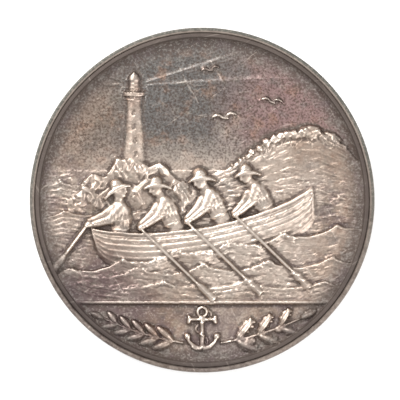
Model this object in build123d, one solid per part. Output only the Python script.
from build123d import *

import math
import os

# A struck silver gallantry medal: one disc with a stepped rim, a picture in relief on its front and a plain
# recessed back. The picture is a lifeboat under oars on a steep sea, with a lighthouse, gulls and, under the
# base line, an anchor between two sprays. Millimetres. The medal lies on its back on Z = 0, the picture facing
# +Z with its top towards +Y, and the origin is under the disc's centre.

# Disc and rim
medal_diameter = 58.0
medal_thickness = 5.0  # back rim to front border
rim_width = 0.75  # raised border round the front
groove_width = 0.17  # sharp line at the border's foot
groove_depth = 0.60  # below the border's top
step_width = 0.60  # plain ring inside the groove
step_drop = 0.30  # below the border's top
cove_width = 0.85  # hollow slope from the ring down to the field
field_drop = 1.75  # field below the border's top
back_rim_width = 1.60
back_recess = 0.45
edge_round = 0.25  # outer corners of the edge
border_break = 0.12  # bevel on the border's inner corner

# Picture as a whole
relief_height = 1.60  # the oars, which stand highest above the field
root_depth = 0.70  # how far every form runs down into the disc
crown_share = 0.42  # a round back's depth as a share of the form's width
horizon_height = 5.0  # above the centre
sea_rise = 0.18  # flat sea above the field
exergue_drop = 17.2  # the base line below the centre
base_line_width = 0.85
base_line_height = 0.80

# Lifeboat
boat_length = 38.0
boat_depth = 5.6  # gunwale to keel, amidships
sheer_rise = 3.2  # how much higher the ends are than the middle
boat_pitch = 10.0  # degrees, bow up
wale_width = 0.75  # rubbing strake along the gunwale
wale_proud = 0.14

# Crew and oars
crew_height = 10.6  # thwart to hat
head_diameter = 2.7
hat_diameter = 2.6
brim_width = 0.80
oar_length = 17.5
oar_width = 0.56
oar_slope = 54.0  # degrees below the boat's own line
blade_length = 4.2
blade_width = 1.35
sweep_length = 10.5  # the steering oar
sweep_slope = 43.0

# Lighthouse on its rock
tower_height = 12.2
tower_foot_width = 4.9
tower_head_width = 3.1
gallery_width = 4.4
gallery_height = 0.65
lantern_width = 2.2
lantern_height = 2.0
dome_height = 1.4
dome_width = 2.8
rock_width = 21.0
beam_length = 34.0
beam_width = 2.6  # at the far end
beam_root_width = 0.6

# Sea
swell_rise = 1.50  # a crest above its trough, in the picture's plane
sea_hill_height = 17.0  # the steep sea behind the bow, foot to crest
foam_length = 4.6
gull_span = 4.8

# Exergue
anchor_height = 7.0
anchor_width = 5.2
shank_width = 0.72
stock_length = 4.4
ring_radius = 0.78
ring_thickness = 0.52
fluke_length = 1.7
spray_length = 14.0
spray_rise = 17.0  # degrees, outwards and up from the anchor's foot
stem_width = 0.42
laurel_leaf_length = 4.2
laurel_leaf_width = 1.45
laurel_pairs = 5
laurel_splay = 30.0
oak_leaf_length = 5.0
oak_leaf_width = 2.4
oak_pairs = 3
oak_splay = 38.0
acorn_diameter = 1.5

# Shares of a size that has its own name, for the forms that have no table
COVE_MIDDLE = (0.62, 0.30)  # of the cove's width and rise
RIDGE_MIDDLE = (0.50, 0.75)  # how high the middle of a ridge's face is, of its edge and of its foot
SWELL_MIDDLE = (0.35, 0.65)  # the same, of a sheet of swell
TROUGH_SHARE = 0.8  # a trough's height above the field, of a crest's
FOAM_BOW = 0.05  # of a fleck's length
FOOT_DEPTH = 0.12  # how far the tower runs down into its rock, of tower_height
STOCK_DROP = 1.6  # from the ring's centre, of ring_radius
SHANK_FOOT = 1.20  # the anchor's widths, of shank_width
STOCK_WIDTH = 0.80
ARM_WIDTH = 1.25
FLUKE_WIDTH = 1.70
ARM_RISE = 0.33  # of anchor_height
ARM_BOW = 0.09
FLUKE_LEAN = 35.0  # degrees outwards
FLUKE_PROUD = 1.10  # heights of the flukes and of the stock's ends, of the anchor's
STOCK_END_PROUD = 1.08
SPRAY_BOW = 0.035  # of spray_length
FIRST_LEAF = 0.7  # bare stem before the first leaves, of the gap between two pairs
TIP_LEAF = 0.65  # the last leaf, of the first
LEAF_BOW = 0.06  # of the leaf's length

# Worked out from the sizes above
disc_radius = medal_diameter / 2
field_level = medal_thickness - field_drop
step_radius = disc_radius - rim_width - groove_width
field_radius = step_radius - step_width - cove_width

# Heights of the forms that have no table, as shares of relief_height
TOWER_FOOT_HEIGHT = 0.52
TOWER_HEAD_HEIGHT = 0.42
GALLERY_HEIGHT = 0.60
BEAM_HEIGHTS = (0.10, 0.04)
HEAD_HEIGHT = 0.78
HAT_HEIGHT = 0.84
BRIM_HEIGHT = 0.88
GULL_HEIGHT = 0.30
ANCHOR_HEIGHT = 0.62
STEM_HEIGHT = 0.30
LEAF_HEIGHT = 0.46
ACORN_HEIGHT = 0.46

# Places in the picture, as shares of the field's radius: x, y
BOAT_PLACE = (0.02, -0.17)
TOWER_PLACE = (-0.43, 0.20)
SEA_HILL_PLACE = (0.0, -0.25)
ANCHOR_PLACE = (0.0, -0.81)
SPRAY_FOOT = (0.115, -0.905)
ACORN_PLACES = [(0.30, -0.895), (0.49, -0.815)]

# Hull from stern to bow. station: share of boat_length. sheer: share of sheer_rise. keel: share of boat_depth.
# brink, swell, foot: height of the gunwale, the middle and the keel, as shares of relief_height
HULL = [
    # station, sheer, keel, brink, swell, foot
    (-0.500, 1.00, 0.02, 0.42, 0.46, 0.30),
    (-0.455, 0.80, 0.60, 0.62, 0.70, 0.34),
    (-0.330, 0.38, 0.90, 0.76, 0.86, 0.34),
    (-0.160, 0.08, 1.00, 0.80, 0.92, 0.34),
    (0.040, 0.00, 1.00, 0.80, 0.92, 0.34),
    (0.240, 0.20, 0.95, 0.78, 0.90, 0.34),
    (0.390, 0.60, 0.80, 0.68, 0.78, 0.34),
    (0.470, 0.95, 0.48, 0.52, 0.58, 0.32),
    (0.500, 1.12, -0.06, 0.38, 0.42, 0.28),
]

# Crew, stern to bow. seat: share of boat_length. lean: degrees towards the stern. scale: share of crew_height.
# look: 1 looks aft, -1 looks ahead
CREW = [
    # seat, lean, scale, look
    (-0.375, -6.0, 1.05, -1),
    (-0.130, 14.0, 1.00, 1),
    (0.080, 17.0, 1.00, 1),
    (0.290, 20.0, 0.96, 1),
]

# A seated back and shoulders. up, width: shares of crew_height, up along the spine. height: of relief
TORSO = [
    # up, width, height
    (-0.16, 0.36, 0.58),
    (0.14, 0.38, 0.66),
    (0.38, 0.45, 0.76),
    (0.54, 0.36, 0.74),
    (0.72, 0.15, 0.56),
]

# The near arm. aft: share of crew_height towards the stern. up: along the spine
ARM = [
    # aft, up, width, height
    (-0.02, 0.53, 0.19, 0.84),
    (0.16, 0.36, 0.17, 0.88),
    (0.34, 0.30, 0.13, 0.90),
    (0.50, 0.29, 0.11, 0.90),
]

# Head, hat and the two ends of its brim, long behind: shares of crew_height towards the face and up the spine
HEAD = (0.01, 0.76)
HAT = (-0.02, 0.86)
BRIM = [(0.17, 0.86), (-0.20, 0.74)]

# An oar from the hand to the tip. loom, blade: shares passed there of the plain length and of the blade's
OAR = [
    # loom, blade, width as a share of oar_width, of blade_width, height
    (-0.06, 0.00, 0.8, 0.0, 0.92),
    (0.40, 0.00, 1.0, 0.0, 1.00),
    (1.00, 0.00, 1.0, 0.0, 0.94),
    (1.00, 0.25, 0.0, 1.0, 0.90),
    (1.00, 1.00, 0.0, 0.9, 0.80),
]

# The rock behind and in front of the tower's foot. x, top: shares of rock_width from that foot.
# brink: height of its edge, of relief
REAR_ROCK = [
    # x, top, brink
    (-0.47, -0.17, 0.14),
    (-0.34, -0.04, 0.46),
    (-0.23, -0.07, 0.42),
    (-0.14, 0.06, 0.52),
    (0.01, 0.08, 0.48),
    (0.12, 0.01, 0.54),
    (0.21, 0.05, 0.46),
    (0.33, -0.08, 0.50),
    (0.48, -0.18, 0.14),
]
FRONT_ROCK = [
    # x, top, brink
    (-0.53, -0.27, 0.14),
    (-0.40, -0.16, 0.58),
    (-0.28, -0.21, 0.52),
    (-0.15, -0.11, 0.64),
    (0.00, -0.16, 0.56),
    (0.11, -0.07, 0.66),
    (0.25, -0.17, 0.56),
    (0.37, -0.14, 0.62),
    (0.54, -0.28, 0.14),
]
ROCK_DROP = 0.36  # how far both run down from the tower's foot, the same share

# The dome. rise: share of dome_height. width: of dome_width. height: of the tower's head
DOME = [
    # rise, width, height
    (0.0, 1.00, 1.15),
    (0.6, 0.65, 1.00),
    (1.0, 0.12, 0.50),
]

# Steep sea behind the bow. x, top: shares of sea_hill_height from its foot. brink: as above
SEA_HILL = [
    # x, top, brink
    (-0.10, 0.58, 0.12),
    (0.24, 0.70, 0.28),
    (0.56, 0.92, 0.44),
    (0.86, 1.06, 0.54),
    (1.16, 1.08, 0.58),
    (1.40, 0.94, 0.56),
    (1.62, 0.70, 0.48),
]

# Foam along the steep sea's edge. x, y: the same shares. length, width: of foam_length. height: of relief
FOAM = [
    # x, y, turn, length, width, height
    (0.40, 0.76, 36.0, 0.75, 0.20, 0.44),
    (0.60, 0.90, 26.0, 1.00, 0.26, 0.56),
    (0.82, 1.02, 14.0, 1.10, 0.30, 0.66),
    (1.06, 1.08, 2.0, 1.10, 0.32, 0.70),
    (1.28, 1.01, -22.0, 1.00, 0.28, 0.66),
    (0.72, 0.84, 30.0, 0.80, 0.20, 0.54),
    (0.96, 0.93, 10.0, 0.90, 0.22, 0.58),
]

# Sheets of swell, far to near. y, drop: shares of the field's radius, drop down to the sheet's foot.
# climb: degrees up to the right. rise: share of swell_rise. brink, foot: heights of edge and foot, of relief
SWELLS = [
    # y, climb, waves, drop, rise, brink, foot
    (0.090, 0.0, 8, 0.24, 0.45, 0.26, 0.12),
    (-0.060, 3.0, 7, 0.38, 0.65, 0.38, 0.16),
    (-0.340, 9.0, 6, 0.20, 0.80, 0.76, 0.34),
    (-0.460, 3.0, 5, 0.16, 1.00, 0.76, 0.34),
    (-0.560, 0.0, 4, 0.075, 0.80, 0.68, 0.36),
]
SWELL_REACH = 1.02  # half of a sheet's run, as a share of the field's radius

# One wave of a sheet's edge. along: share of the wave. lift: share of the rise
WAVE = [
    # along, lift
    (0.00, 0.00),
    (0.30, 0.30),
    (0.52, 1.00),
    (0.66, 0.45),
]

# Beams from the lantern. turn: degrees from +X. length: share of beam_length. spread: share of beam_width
BEAMS = [
    # turn, length, spread
    (17.0, 1.10, 1.00),
    (3.0, 1.15, 1.10),
    (158.0, 0.42, 0.60),
    (176.0, 0.46, 0.60),
]

# Gulls. x, y: shares of the field's radius. scale: share of gull_span
GULLS = [
    # x, y, turn, scale
    (0.14, 0.52, 8.0, 1.00),
    (0.44, 0.62, -6.0, 0.85),
    (0.05, 0.82, 12.0, 0.75),
]
WING_BOW = 0.16  # shares of gull_span
WING_WIDTH = 0.13

# Tapers from end to end. along, width and height are shares of a form's own length, width and height
LEAF = [
    # along, width, height
    (0.00, 0.12, 0.0),
    (0.28, 0.80, 0.85),
    (0.55, 1.00, 1.00),
    (0.82, 0.62, 0.80),
    (1.00, 0.10, 0.0),
]
LOBED_LEAF = [
    # along, width, height
    (0.00, 0.10, 0.10),
    (0.16, 0.55, 0.85),
    (0.28, 0.36, 0.85),
    (0.42, 0.86, 1.00),
    (0.54, 0.50, 1.00),
    (0.68, 1.00, 0.95),
    (0.80, 0.56, 0.85),
    (0.92, 0.52, 0.60),
    (1.00, 0.12, 0.10),
]
ANCHOR_ARM = [
    # along, width, height
    (0.00, 1.00, 1.0),
    (0.35, 0.95, 1.0),
    (0.70, 0.75, 1.0),
    (1.00, 0.45, 0.9),
]
STEM = [
    # along, width, height
    (0.00, 1.3, 1.0),
    (0.33, 1.0, 1.0),
    (0.66, 0.8, 1.0),
    (1.00, 0.5, 0.9),
]


def turned(x, y, degrees, distance):
    """The point at a distance from x, y in the direction given in degrees from +X."""
    way = math.radians(degrees)
    return x + distance * math.cos(way), y + distance * math.sin(way)


def at(place):
    """A place given as shares of the field's radius."""
    return place[0] * field_radius, place[1] * field_radius


def section(x, y, heading, low, high, low_shoulder, crest, high_shoulder):
    """An upright outline across a form: two straight walls with an arc over them, heights above the field."""
    turn = math.radians(heading)
    plane = Plane(
        origin=(x, y, field_level),
        x_dir=(-math.sin(turn), math.cos(turn), 0),
        z_dir=(math.cos(turn), math.sin(turn), 0),
    )
    outline = [
        (low, -root_depth),
        (low, low_shoulder),
        ((low + high) / 2, crest),
        (high, high_shoulder),
        (high, -root_depth),
    ]
    a, b, c, d, e = (plane.from_local_coords(Vector(u, v, 0)) for u, v in outline)
    return Wire(
        [
            Edge.make_line(a, b),
            Edge.make_three_point_arc(b, c, d),
            Edge.make_line(d, e),
            Edge.make_line(e, a),
        ]
    )


def rounded(x, y, heading, width, height):
    """A section with a round back, sunk where the form is low and wide."""
    crown = min(crown_share * width, height + crown_share * root_depth)
    return section(x, y, heading, -width / 2, width / 2, height - crown, height, height - crown)


def raised(stations):
    """A form that follows stations of x, y, heading, width and height."""
    return Solid.make_loft([rounded(*station) for station in stations], ruled=True)


def bar(x0, y0, x1, y1, width, height, end_width=None, end_height=None):
    """A straight form with its own width and height at each end."""
    heading = math.degrees(math.atan2(y1 - y0, x1 - x0))
    far = (end_width or width, end_height or height)
    return raised([(x0, y0, heading, width, height), (x1, y1, heading, *far)])


def tapered(x0, y0, x1, y1, bow, width, height, profile=LEAF):
    """A form from one point to another on a curve that rises by bow to its left, with the profile's taper."""
    run = math.hypot(x1 - x0, y1 - y0)
    ux, uy = (x1 - x0) / run, (y1 - y0) / run
    stations = []
    for along, wide, high in profile:
        off = 4 * bow * along * (1 - along)
        slope = math.atan(4 * bow * (1 - 2 * along) / run)
        heading = math.degrees(math.atan2(uy, ux) + slope)
        x = x0 + ux * run * along - uy * off
        y = y0 + uy * run * along + ux * off
        stations.append((x, y, heading, width * wide, height * high))
    return raised(stations)


def knob(x, y, diameter, height):
    """A ball sunk until it stands height above the field, with its poles level and its seam below."""
    ball = Solid.make_sphere(diameter / 2, angle1=-90, angle2=90, angle3=360)
    return ball.moved(Location((x, y, field_level + height - diameter / 2), (0, 90, 0)))


def slab(low_y, high_y, height):
    """A flat band right across the picture."""
    box = Solid.make_box(2 * disc_radius, high_y - low_y, root_depth + height)
    return box.moved(Location((-disc_radius, low_y, field_level - root_depth)))


def ridge(x, y, stations, size, drop, foot):
    """A face that falls towards the viewer from a crooked edge. Stations and drop are shares of size."""
    sections = []
    for along, top, brink in stations:
        level = brink * relief_height
        middle = RIDGE_MIDDLE[0] * level + RIDGE_MIDDLE[1] * foot
        sections.append(section(x + along * size, y, 0, -drop * size, top * size, foot, middle, level))
    return Solid.make_loft(sections, ruled=True)


def blank():
    """The plain disc, turned about its axis."""
    top = medal_thickness
    border_inner = disc_radius - rim_width
    step_level = top - step_drop
    cove_rise = step_level - field_level
    cove_middle = (field_radius + COVE_MIDDLE[0] * cove_width, field_level + COVE_MIDDLE[1] * cove_rise)
    back_inner = disc_radius - back_rim_width
    with BuildPart() as part:
        with BuildSketch(Plane.XZ):
            with BuildLine():
                Polyline(
                    (0, back_recess),
                    (back_inner - back_recess, back_recess),
                    (back_inner, 0),
                    (disc_radius - edge_round, 0),
                )
                RadiusArc((disc_radius - edge_round, 0), (disc_radius, edge_round), -edge_round)
                Line((disc_radius, edge_round), (disc_radius, top - edge_round))
                RadiusArc((disc_radius, top - edge_round), (disc_radius - edge_round, top), -edge_round)
                Polyline(
                    (disc_radius - edge_round, top),
                    (border_inner + border_break, top),
                    (border_inner, top - border_break),
                    (border_inner - groove_width / 2, top - groove_depth),
                    (step_radius, step_level),
                    (step_radius - step_width, step_level),
                )
                ThreePointArc((step_radius - step_width, step_level), cove_middle, (field_radius, field_level))
                Polyline((field_radius, field_level), (0, field_level), (0, back_recess))
            make_face()
        revolve(axis=Axis.Z)
    return part.part


def swell_sheet(y, climb, waves, drop, rise, brink, foot):
    """Water that falls towards the viewer from a scalloped edge, so that the nearer sheet overlaps it."""
    reach = SWELL_REACH * field_radius
    low = foot * relief_height
    sections = []
    for k in range(waves + 1):
        for along, lift in WAVE if k < waves else WAVE[:1]:
            x = -reach + (k + along) * 2 * reach / waves
            y0 = y * field_radius + x * math.tan(math.radians(climb))
            level = brink * (TROUGH_SHARE + (1 - TROUGH_SHARE) * lift) * relief_height
            middle = SWELL_MIDDLE[0] * level + SWELL_MIDDLE[1] * low
            top = rise * swell_rise * lift
            sections.append(section(x, y0, 0, -drop * field_radius, top, low, middle, level))
    return Solid.make_loft(sections, ruled=True)


def sea():
    """The flat sea, its sheets of swell and the steep sea behind the bow with foam on its edge."""
    x, y = at(SEA_HILL_PLACE)
    forms = [slab(-exergue_drop, horizon_height, sea_rise)]
    forms += [swell_sheet(*row) for row in SWELLS]
    forms.append(ridge(x, y, SEA_HILL, sea_hill_height, 0, sea_rise))
    for dx, dy, turn, length, width, height in FOAM:
        middle = (x + dx * sea_hill_height, y + dy * sea_hill_height)
        near = turned(*middle, turn + 180, length * foam_length / 2)
        far = turned(*middle, turn, length * foam_length / 2)
        bow = FOAM_BOW * length * foam_length
        forms.append(tapered(*near, *far, bow, width * foam_length, height * relief_height))
    return forms


def lighthouse():
    """The rock, the tower with its gallery, lantern and dome, and the beams."""
    x, y = at(TOWER_PLACE)
    foot = y - FOOT_DEPTH * tower_height
    head = y + tower_height
    lamp = head + gallery_height
    roof = lamp + lantern_height
    low = TOWER_FOOT_HEIGHT * relief_height
    high = TOWER_HEAD_HEIGHT * relief_height
    forms = [
        ridge(x, y, REAR_ROCK, rock_width, ROCK_DROP, sea_rise),
        ridge(x, y, FRONT_ROCK, rock_width, ROCK_DROP, sea_rise),
        bar(x, foot, x, head, tower_foot_width, low, tower_head_width, high),
        bar(x, head, x, lamp, gallery_width, GALLERY_HEIGHT * relief_height),
        bar(x, lamp, x, roof, lantern_width, high),
        raised([(x, roof + rise * dome_height, 90, wide * dome_width, tall * high) for rise, wide, tall in DOME]),
    ]
    near_height, far_height = (share * relief_height for share in BEAM_HEIGHTS)
    for turn, length, spread in BEAMS:
        near = turned(x, (lamp + roof) / 2, turn, lantern_width)
        far = turned(x, (lamp + roof) / 2, turn, length * beam_length)
        forms.append(bar(*near, *far, beam_root_width, near_height, spread * beam_width, far_height))
    return forms


def in_boat(along):
    """A point on the boat's own line, along towards the bow from the middle of the gunwale."""
    return turned(*at(BOAT_PLACE), boat_pitch, along)


def hull():
    """The hull from sternpost to stem, and the strake along its gunwale."""
    shell = []
    wale = []
    for station, sheer, keel, brink, swell, foot in HULL:
        place = (*in_boat(station * boat_length), boat_pitch)
        top = sheer * sheer_rise
        low_level, middle, level = (share * relief_height for share in (foot, swell, brink))
        shell.append(section(*place, -keel * boat_depth, top, low_level, middle, level))
        edge = level + wale_proud / 2
        wale.append(section(*place, top - wale_width, top, edge, level + wale_proud, edge))
    return [Solid.make_loft(shell, ruled=False), Solid.make_loft(wale, ruled=True)]


def crewman(seat, lean, scale, look):
    """One of the crew in a brimmed hat, from the thwart up, with the near arm. Gives the forms and the hand."""
    size = crew_height * scale
    spine = 90 + boat_pitch + lean
    thwart = in_boat(seat * boat_length)

    def point(aft, up):
        return turned(*turned(*thwart, spine, up * size), spine + 90, aft * size)

    torso = [(*point(0, up), spine, width * size, height * relief_height) for up, width, height in TORSO]
    arm = []
    for k, (aft, up, width, height) in enumerate(ARM):
        ax, ay = point(*ARM[max(k - 1, 0)][:2])
        bx, by = point(*ARM[min(k + 1, len(ARM) - 1)][:2])
        heading = math.degrees(math.atan2(by - ay, bx - ax))
        arm.append((*point(aft, up), heading, width * size, height * relief_height))
    front, behind = (point(look * along, up) for along, up in BRIM)
    forms = [
        raised(torso),
        raised(arm),
        knob(*point(look * HEAD[0], HEAD[1]), head_diameter, HEAD_HEIGHT * relief_height),
        tapered(*front, *behind, 0.0, brim_width, BRIM_HEIGHT * relief_height),
        knob(*point(look * HAT[0], HAT[1]), hat_diameter, HAT_HEIGHT * relief_height),
    ]
    return forms, point(*ARM[-1][:2])


def oar(hand, slope, length):
    """An oar from just behind the hand down to its blade in the water."""
    plain = length - blade_length
    stations = []
    for loom, blade, plain_width, flat_width, height in OAR:
        place = turned(*hand, slope, loom * plain + blade * blade_length)
        width = plain_width * oar_width + flat_width * blade_width
        stations.append((*place, slope, width, height * relief_height))
    return raised(stations)


def boat():
    """The lifeboat with everyone in it, the first at the steering oar."""
    forms = hull()
    for k, member in enumerate(CREW):
        made, hand = crewman(*member)
        forms += made
        if k == 0:
            forms.append(oar(hand, boat_pitch + 180 + sweep_slope, sweep_length))
        else:
            forms.append(oar(hand, boat_pitch - oar_slope, oar_length))
    return forms


def gulls():
    """Each gull is two bowed wings."""
    forms = []
    for px, py, turn, scale in GULLS:
        body = at((px, py))
        span = scale * gull_span
        for side in (-1, 1):
            tip = turned(*body, turn + 90 - side * 90, span / 2)
            wing = (side * WING_BOW * span, WING_WIDTH * span, GULL_HEIGHT * relief_height)
            forms.append(tapered(*body, *tip, *wing))
    return forms


def anchor():
    """The anchor that stands in the middle under the base line."""
    x, y = at(ANCHOR_PLACE)
    high = ANCHOR_HEIGHT * relief_height
    crown = y - anchor_height / 2
    eye = y + anchor_height / 2 - ring_radius
    stock = eye - STOCK_DROP * ring_radius
    ring = Solid.make_torus(ring_radius, ring_thickness / 2)
    stock_ends = (x - stock_length / 2, stock, x + stock_length / 2, stock)
    forms = [
        bar(x, eye - ring_radius, x, crown, shank_width, high, SHANK_FOOT * shank_width, high),
        bar(*stock_ends, STOCK_WIDTH * shank_width, high),
        ring.moved(Location((x, eye, field_level + high / 2))),
    ]
    for side in (-1, 1):
        end = x + side * stock_length / 2
        forms.append(bar(end, stock - shank_width, end, stock + shank_width, shank_width, STOCK_END_PROUD * high))
        tip = (x + side * anchor_width / 2, crown + ARM_RISE * anchor_height)
        bow = -side * ARM_BOW * anchor_height
        forms.append(tapered(x, crown, *tip, bow, ARM_WIDTH * shank_width, high, ANCHOR_ARM))
        heel = turned(*tip, 270 - side * FLUKE_LEAN, 2 * fluke_length / 3)
        point = turned(*tip, 90 - side * FLUKE_LEAN, fluke_length / 3)
        forms.append(tapered(*heel, *point, 0.0, FLUKE_WIDTH * shank_width, FLUKE_PROUD * high))
    return forms


def spray(side, leaf_length, leaf_width, pairs, splay, profile):
    """A branch that follows the rim outwards from the anchor's foot, with paired leaves and one at its tip."""
    foot = at((side * SPRAY_FOOT[0], SPRAY_FOOT[1]))
    rise = 90 - side * (90 - spray_rise)
    tip = turned(*foot, rise, spray_length)
    bow = -side * SPRAY_BOW * spray_length
    forms = [tapered(*foot, *tip, bow, stem_width, STEM_HEIGHT * relief_height, STEM)]
    for k in range(pairs + 1):
        along = (k + FIRST_LEAF) / (pairs + FIRST_LEAF)
        joint = turned(*foot, rise, along * spray_length)
        joint = turned(*joint, rise + 90, 4 * bow * along * (1 - along))
        heading = rise + math.degrees(math.atan(4 * bow * (1 - 2 * along) / spray_length))
        size = 1 - (1 - TIP_LEAF) * along
        for turn in (-splay, splay) if k < pairs else (0,):
            end = turned(*joint, heading + turn, size * leaf_length)
            arch = math.copysign(LEAF_BOW * leaf_length, turn)
            forms.append(tapered(*joint, *end, arch, size * leaf_width, LEAF_HEIGHT * relief_height, profile))
    return forms


def exergue():
    """The base line and what lies under it."""
    half = math.sqrt(step_radius**2 - exergue_drop**2)
    forms = [bar(-half, -exergue_drop, half, -exergue_drop, base_line_width, base_line_height)]
    forms += anchor()
    forms += spray(-1, laurel_leaf_length, laurel_leaf_width, laurel_pairs, laurel_splay, LEAF)
    forms += spray(1, oak_leaf_length, oak_leaf_width, oak_pairs, oak_splay, LOBED_LEAF)
    forms += [knob(*at(place), acorn_diameter, ACORN_HEIGHT * relief_height) for place in ACORN_PLACES]
    return forms


def picture():
    """Everything that stands above the field, joined group by group and trimmed to the cove."""
    groups = [sea(), lighthouse(), boat(), gulls(), exergue()]
    joined = [forms[0].fuse(*forms[1:]) for forms in groups]
    return joined[0].fuse(*joined[1:]) & Solid.make_cylinder(field_radius + cove_width, medal_thickness)


def medal():
    """The disc with its picture, as one solid."""
    return blank() + picture()


os.makedirs("parts", exist_ok=True)
export_step(medal(), "parts/medal.step")
